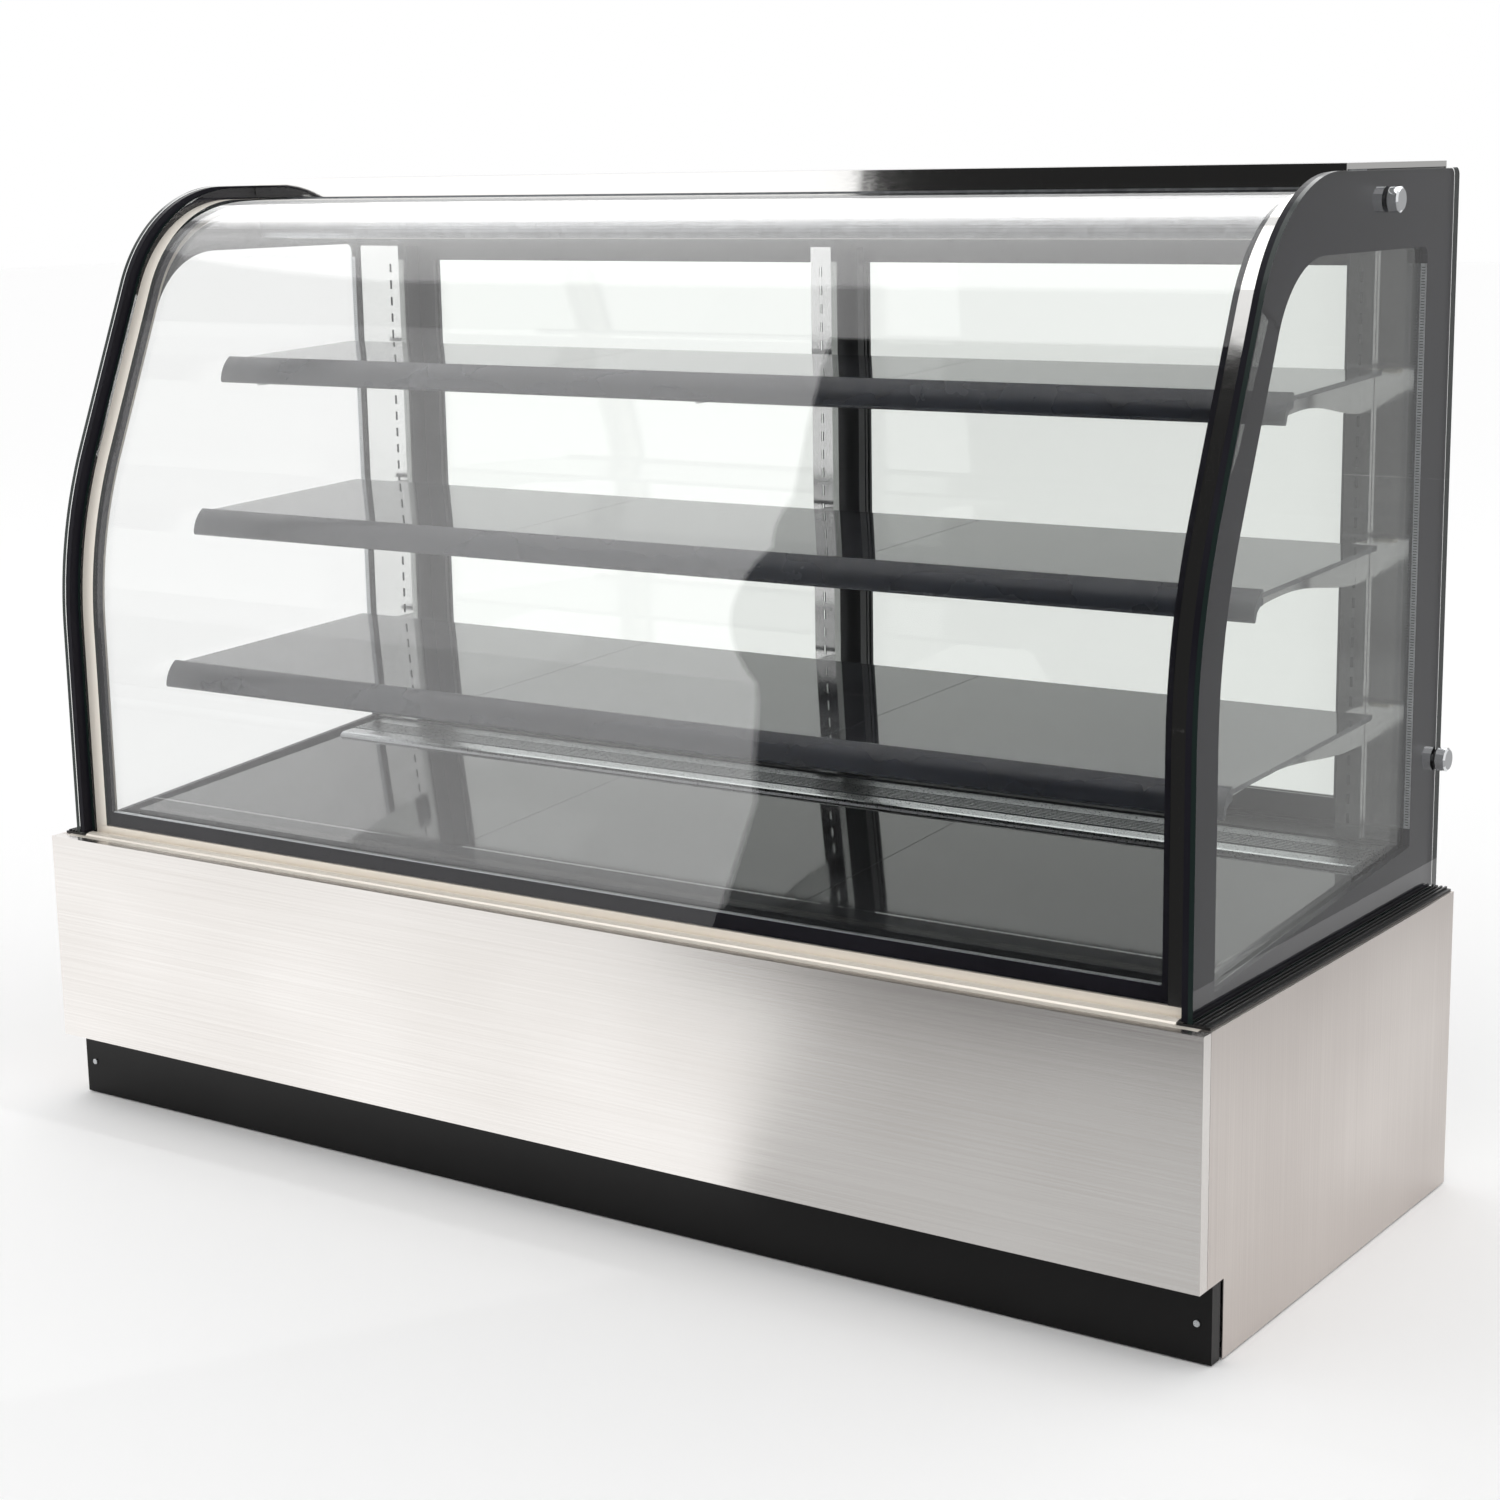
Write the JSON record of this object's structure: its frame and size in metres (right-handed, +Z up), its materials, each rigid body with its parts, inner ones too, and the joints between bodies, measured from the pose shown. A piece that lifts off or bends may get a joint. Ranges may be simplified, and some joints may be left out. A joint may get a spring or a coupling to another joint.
{
  "type": "refrigerated glass display showcase",
  "caption": "Curved-glass refrigerated counter showcase: glass shelves over a tilted steel deck, stainless base with cooling plant, rear sliding doors and thermostat.",
  "frame": {"origin": "on the floor under the centre of the case", "axes": "+X along the counter, to the right of a customer facing the curved front; +Y from the customer's side to the serving side; +Z up"},
  "size_m": [1.8, 0.73, 1.3],
  "materials": {
    "galvanised": "galvanised sheet",
    "pan_steel": "drawn aluminium sheet",
    "black_rubber": "moulded rubber",
    "brushed_stainless": "fine brushed grain along X",
    "black_kick": "satin powder coat",
    "screw_steel": "zinc plated",
    "grey_plastic": "fine texture",
    "black_plastic": "satin",
    "key_plastic": "satin",
    "white_rocker": "gloss",
    "green_rocker": "gloss",
    "mirror_steel": "bright mirror polish",
    "foam_skin": "foam in a sheet skin",
    "grille_aluminium": "satin anodised",
    "clear_glass": "clear",
    "door_glass": "clear",
    "shelf_glass": "smoked, polished edges",
    "coil_fins": "mill finish fins",
    "fan_plastic": "satin",
    "black_paint": "gloss enamel",
    "copper_pipe": "drawn copper",
    "glass_seal": "fired enamel and spacer",
    "chrome_cap": "polished",
    "lamp_diffuser": "opal",
    "black_frame": "black anodised",
    "polished_steel": "polished",
    "nosing_plastic": "tinted gloss",
    "cream_rubber": "moulded"
  },
  "bodies": {
    "case": {"base_frame": "galvanised", "levelling_feet": "black_rubber", "front_panel": "brushed_stainless", "left_side_panel": "brushed_stainless", "right_side_panel": "brushed_stainless", "kick_plate": "black_kick", "panel_screws": "screw_steel", "service_panel": "brushed_stainless", "control_panel": "grey_plastic", "controller_body": "black_plastic", "power_inlet": "black_plastic", "front_sill": "mirror_steel", "ledge_strips": "black_plastic", "insulated_tub": "foam_skin", "tub_liner": "mirror_steel", "well_cover": "black_plastic", "deck_pans": "mirror_steel", "air_grille": "grille_aluminium", "guard_glass": "clear_glass", "evaporator_coil": "coil_fins", "evaporator_fan_panel": "galvanised", "compressor": "black_paint", "condenser_coil": "coil_fins", "condenser_shroud": "galvanised", "refrigerant_lines": "copper_pipe", "drain_pan": "pan_steel", "front_glass": "clear_glass", "front_glass_seal": "glass_seal", "left_trim": "mirror_steel", "right_trim": "mirror_steel", "left_end_glass": "clear_glass", "right_end_glass": "clear_glass", "left_end_seal": "glass_seal", "right_end_seal": "glass_seal", "fixing_caps": "chrome_cap", "cap_gaskets": "black_rubber", "top_panel": "mirror_steel", "lamp_housing": "galvanised", "lamp_lens": "lamp_diffuser", "rear_frame": "black_frame", "shelf_posts": "polished_steel", "shelf_glass_low": "shelf_glass", "shelf_glass_mid": "shelf_glass", "shelf_glass_top": "shelf_glass", "shelf_nosings": "nosing_plastic", "shelf_brackets": "polished_steel", "bracket_bumpers": "cream_rubber"},
    "left_door": {"left_door_frame": "black_frame", "left_door_glass": "door_glass"},
    "right_door": {"right_door_frame": "black_frame", "right_door_glass": "door_glass"},
    "set_key": {"set_button": "key_plastic"},
    "up_key": {"up_button": "key_plastic"},
    "down_key": {"down_button": "key_plastic"},
    "light_rocker": {"light_switch": "white_rocker"},
    "power_rocker": {"power_switch": "green_rocker"},
    "condenser_rotor": {"condenser_fan": "fan_plastic"},
    "left_rotor": {"evaporator_fan_left": "fan_plastic"},
    "right_rotor": {"evaporator_fan_right": "fan_plastic"}
  },
  "joints": [
    {"name": "left_door_slide", "type": "slide", "parent": "case", "child": "left_door", "axis": [1, 0, 0], "range_m": [0, 0.766]},
    {"name": "right_door_slide", "type": "slide", "parent": "case", "child": "right_door", "axis": [-1, 0, 0], "range_m": [0, 0.766]},
    {"name": "set_key_press", "type": "slide", "parent": "case", "child": "set_key", "axis": [0, -1, 0], "range_m": [0, 0.001], "stiffness_N_per_m": 400},
    {"name": "up_key_press", "type": "slide", "parent": "case", "child": "up_key", "axis": [0, -1, 0], "range_m": [0, 0.001], "stiffness_N_per_m": 400},
    {"name": "down_key_press", "type": "slide", "parent": "case", "child": "down_key", "axis": [0, -1, 0], "range_m": [0, 0.001], "stiffness_N_per_m": 400},
    {"name": "light_rocker_tip", "type": "hinge", "parent": "case", "child": "light_rocker", "pos_m": [-0.635, 0.352, 0.321], "axis": [1, 0, 0], "range_deg": [0, 14]},
    {"name": "power_rocker_tip", "type": "hinge", "parent": "case", "child": "power_rocker", "pos_m": [-0.575, 0.352, 0.321], "axis": [1, 0, 0], "range_deg": [0, 14]},
    {"name": "condenser_fan_spin", "type": "hinge", "parent": "case", "child": "condenser_rotor", "pos_m": [0.324, 0.252, 0.136], "axis": [0, 1, 0], "continuous": true},
    {"name": "left_evaporator_fan_spin", "type": "hinge", "parent": "case", "child": "left_rotor", "pos_m": [-0.324, -0.0455, 0.3192], "axis": [0, 1, 0], "continuous": true},
    {"name": "right_evaporator_fan_spin", "type": "hinge", "parent": "case", "child": "right_rotor", "pos_m": [0.324, -0.0455, 0.3192], "axis": [0, 1, 0], "continuous": true}
  ]
}
